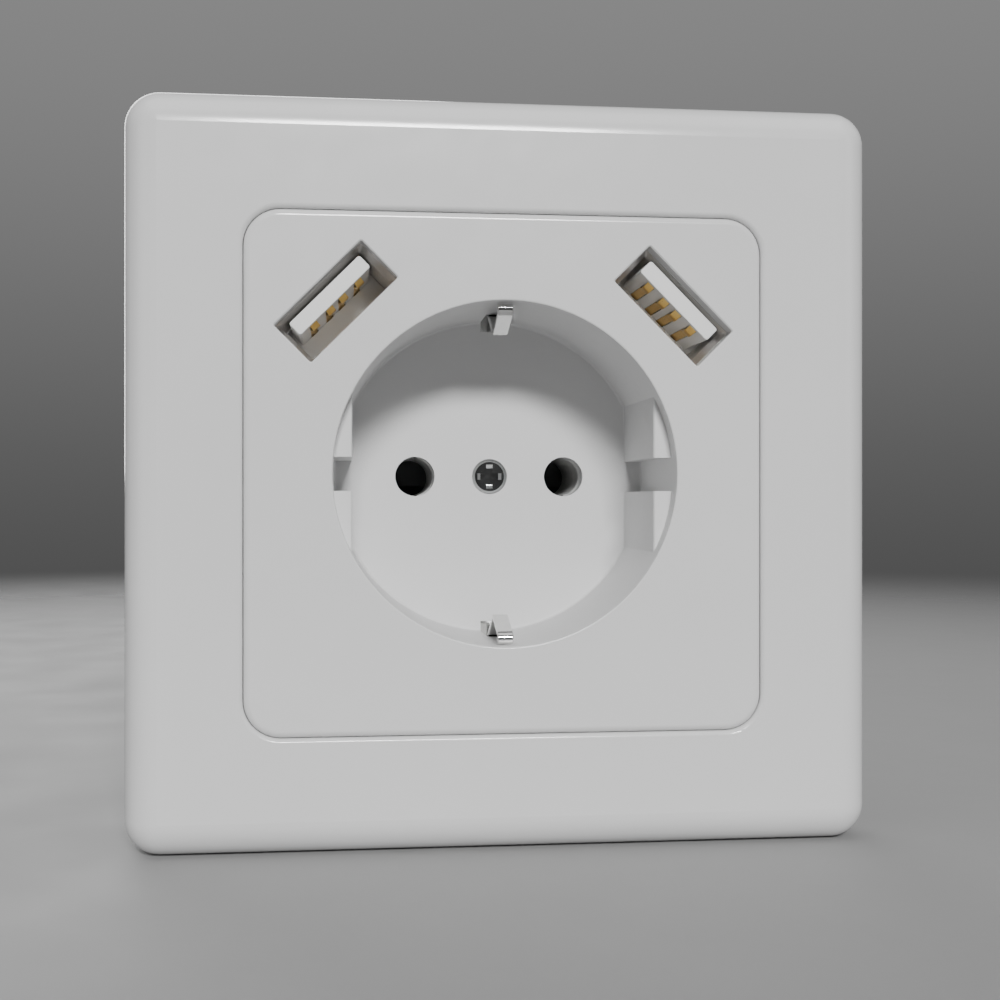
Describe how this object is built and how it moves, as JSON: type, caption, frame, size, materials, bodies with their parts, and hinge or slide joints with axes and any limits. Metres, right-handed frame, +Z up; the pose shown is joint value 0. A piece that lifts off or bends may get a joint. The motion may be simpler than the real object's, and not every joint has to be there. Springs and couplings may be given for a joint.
{
  "type": "usb wall socket",
  "caption": "Square white flush wall socket with a round earthed two-pin recess and angled USB-A charging ports in the upper corners.",
  "frame": {"origin": "midway between the two wall-box screws, in the plane of the wall's surface, which is the back of the support ring and of the cover frame", "axes": "+X right and +Z up as seen from the room, +Y into the wall"},
  "size_m": [0.086, 0.0442, 0.086],
  "materials": {
    "white_plastic": "glossy moulded thermoplastic",
    "dark_plastic": "matt moulded thermoset",
    "grey_plastic": "matt moulded thermoplastic",
    "plated_screw": "zinc plated",
    "nickel_strip": "bright nickel plated strip",
    "brass": "bare rolled strip",
    "contact_brass": "tinned rolled strip",
    "galvanised_sheet": "galvanised sheet",
    "cage_steel": "yellow passivated",
    "shell_steel": "nickel plated sheet",
    "tongue_plastic": "white moulded insulator",
    "gilt_contact": "gilt",
    "board_laminate": "green solder resist",
    "ferrite": "sintered, matt",
    "winding_tape": "yellow polyester tape",
    "capacitor_sleeve": "shrink sleeve",
    "black_epoxy": "moulded epoxy",
    "resistor_coating": "cement coating",
    "disc_coating": "dipped coating",
    "wire_insulation": "extruded insulation"
  },
  "bodies": {
    "socket": {"cover_frame": "white_plastic", "centre_plate": "white_plastic", "centre_screw": "plated_screw", "earth_bracket": "nickel_strip", "earth_strap": "brass", "support_ring": "galvanised_sheet", "ring_screws": "plated_screw", "base_body": "dark_plastic", "rear_cover": "grey_plastic", "cover_screws": "plated_screw", "pin_contact_left": "contact_brass", "pin_contact_right": "contact_brass", "claw_pins": "cage_steel", "usb_shell_left": "shell_steel", "usb_shell_right": "shell_steel", "usb_tongue_left": "tongue_plastic", "usb_tongue_right": "tongue_plastic", "usb_contacts_left": "gilt_contact", "usb_contacts_right": "gilt_contact", "usb_board": "board_laminate", "power_board": "board_laminate", "transformer_core": "ferrite", "transformer_bobbin": "winding_tape", "input_capacitor": "capacitor_sleeve", "output_capacitors": "capacitor_sleeve", "choke": "ferrite", "bridge_rectifier": "black_epoxy", "fuse_resistor": "resistor_coating", "y_capacitor": "disc_coating", "controller_chip": "black_epoxy", "usb_wires": "wire_insulation"},
    "line_screw": {"line_terminal_screw": "plated_screw"},
    "neutral_screw": {"neutral_terminal_screw": "plated_screw"},
    "earth_screw": {"earth_terminal_screw": "plated_screw"},
    "line_cage": {"line_terminal_cage": "cage_steel"},
    "neutral_cage": {"neutral_terminal_cage": "cage_steel"},
    "earth_cage": {"earth_terminal_cage": "cage_steel"},
    "claw_screw_l": {"claw_screw_left": "plated_screw"},
    "claw_screw_r": {"claw_screw_right": "plated_screw"},
    "claw_nut_l": {"claw_nut_left": "cage_steel"},
    "claw_nut_r": {"claw_nut_right": "cage_steel"},
    "claw_l": {"claw_left": "galvanised_sheet"},
    "claw_r": {"claw_right": "galvanised_sheet"}
  },
  "joints": [
    {"name": "line_screw_turn", "type": "hinge", "parent": "socket", "child": "line_screw", "pos_m": [-0.014, 0.03, -0.012], "axis": [0, -1, 0], "range_deg": [0, 1656]},
    {"name": "line_cage_slide", "type": "slide", "parent": "socket", "child": "line_cage", "axis": [0, 1, 0], "range_m": [0, 0.0023]},
    {"name": "neutral_screw_turn", "type": "hinge", "parent": "socket", "child": "neutral_screw", "pos_m": [0.014, 0.03, -0.012], "axis": [0, -1, 0], "range_deg": [0, 1656]},
    {"name": "neutral_cage_slide", "type": "slide", "parent": "socket", "child": "neutral_cage", "axis": [0, 1, 0], "range_m": [0, 0.0023]},
    {"name": "earth_screw_turn", "type": "hinge", "parent": "socket", "child": "earth_screw", "pos_m": [0, 0.03, -0.0203], "axis": [0, -1, 0], "range_deg": [0, 1656]},
    {"name": "earth_cage_slide", "type": "slide", "parent": "socket", "child": "earth_cage", "axis": [0, 1, 0], "range_m": [0, 0.0023]},
    {"name": "left_claw_screw_turn", "type": "hinge", "parent": "socket", "child": "claw_screw_l", "pos_m": [-0.0242, 0, -0.007], "axis": [0, 1, 0], "range_deg": [0, 943.2]},
    {"name": "left_claw_nut_slide", "type": "slide", "parent": "socket", "child": "claw_nut_l", "axis": [0, -1, 0], "range_m": [0, 0.00131]},
    {"name": "left_claw_swing", "type": "hinge", "parent": "socket", "child": "claw_l", "pos_m": [-0.0202, 0.016, -0.007], "axis": [0, 0, 1], "range_deg": [0, 35]},
    {"name": "right_claw_screw_turn", "type": "hinge", "parent": "socket", "child": "claw_screw_r", "pos_m": [0.0242, 0, -0.007], "axis": [0, 1, 0], "range_deg": [0, 943.2]},
    {"name": "right_claw_nut_slide", "type": "slide", "parent": "socket", "child": "claw_nut_r", "axis": [0, -1, 0], "range_m": [0, 0.00131]},
    {"name": "right_claw_swing", "type": "hinge", "parent": "socket", "child": "claw_r", "pos_m": [0.0202, 0.016, -0.007], "axis": [0, 0, -1], "range_deg": [0, 35]}
  ],
  "couplings": [
    {"joint": "line_screw_turn", "follows": "line_cage_slide", "rad_per_m": 12565},
    {"joint": "neutral_screw_turn", "follows": "neutral_cage_slide", "rad_per_m": 12565},
    {"joint": "earth_screw_turn", "follows": "earth_cage_slide", "rad_per_m": 12565},
    {"joint": "left_claw_screw_turn", "follows": "left_claw_nut_slide", "rad_per_m": 12565},
    {"joint": "left_claw_swing", "follows": "left_claw_nut_slide", "rad_per_m": 466.26},
    {"joint": "right_claw_screw_turn", "follows": "right_claw_nut_slide", "rad_per_m": 12565},
    {"joint": "right_claw_swing", "follows": "right_claw_nut_slide", "rad_per_m": 466.26}
  ]
}
